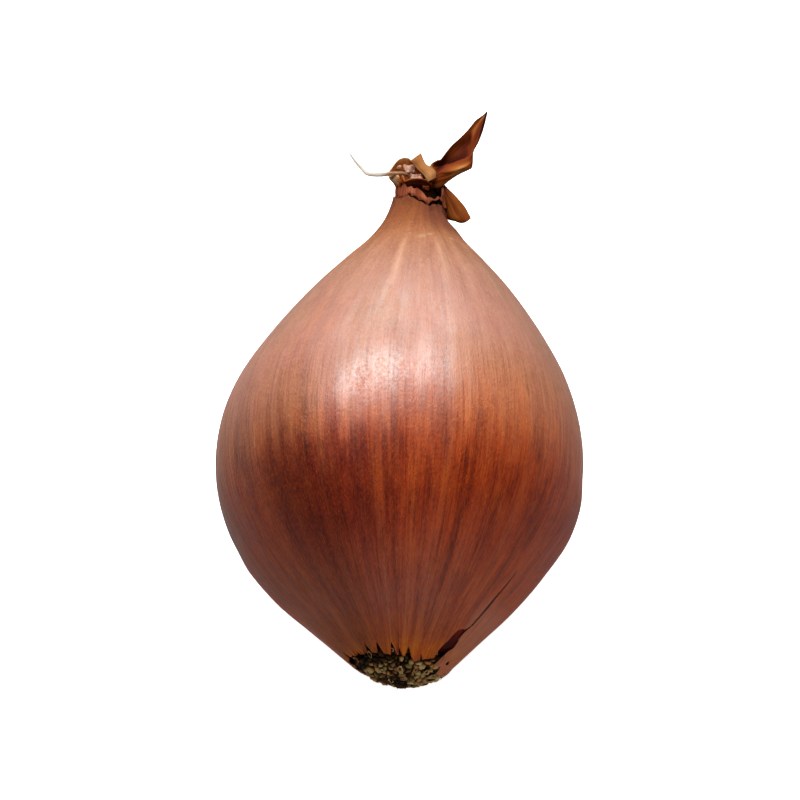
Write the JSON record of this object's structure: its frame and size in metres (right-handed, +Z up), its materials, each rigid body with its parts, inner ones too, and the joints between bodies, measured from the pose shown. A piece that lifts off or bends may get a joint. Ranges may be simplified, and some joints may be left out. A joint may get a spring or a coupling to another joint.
{
  "type": "shallot",
  "caption": "Whole dry shallot lying on its side: round bulb in a split papery skin, basal plate with dried root stubs, and a neck with dry leaf remains.",
  "frame": {"origin": "centre of the small flattened spot on the flank that it rests on, straight under the middle of its widest ring", "axes": "+Z up; +Y along the bulb's axis towards the neck and the leaf remains; +X to the right as seen from the root end"},
  "size_m": [0.044, 0.0749, 0.0433],
  "materials": {
    "inner_skin": "glossy dark red flesh under a thin second skin",
    "papery_skin": "satin papery skin, copper brown",
    "basal_plate": "matt corky brown",
    "dried_root": "matt dried root",
    "torn_collar": "torn papery edge",
    "leaf_sheath": "dry tan leaf",
    "pale_scale": "pale pink dried scale",
    "dry_leaf": "dry brown leaf",
    "pale_strand": "pale dried strand"
  },
  "bodies": {
    "root": {"bulb": "inner_skin", "outer_skin": "papery_skin", "root_plate": "basal_plate", "root_stub_01": "dried_root", "root_stub_02": "dried_root", "root_stub_03": "dried_root", "root_stub_04": "dried_root", "root_stub_05": "dried_root", "root_stub_06": "dried_root", "root_stub_07": "dried_root", "root_stub_08": "dried_root", "root_stub_09": "dried_root", "root_stub_10": "dried_root", "root_stub_11": "dried_root", "root_stub_12": "dried_root", "root_stub_13": "dried_root", "root_stub_14": "dried_root", "root_stub_15": "dried_root", "root_stub_16": "dried_root", "root_stub_17": "dried_root", "root_stub_18": "dried_root", "root_stub_19": "dried_root", "root_stub_20": "dried_root", "root_stub_21": "dried_root", "root_stub_22": "dried_root", "root_stub_23": "dried_root", "root_stub_24": "dried_root", "root_stub_25": "dried_root", "root_stub_26": "dried_root", "root_stub_27": "dried_root", "root_stub_28": "dried_root", "root_stub_29": "dried_root", "root_stub_30": "dried_root", "root_stub_31": "dried_root", "root_stub_32": "dried_root", "root_stub_33": "dried_root", "root_stub_34": "dried_root", "root_stub_35": "dried_root", "neck_collar": "torn_collar", "leaf_sheath": "leaf_sheath", "inner_scale_01": "pale_scale", "inner_scale_02": "pale_scale", "inner_scale_03": "pale_scale", "tall_leaf": "dry_leaf", "tab_leaf": "leaf_sheath", "hanging_leaf": "dry_leaf", "dried_strand": "pale_strand"}
  },
  "joints": []
}
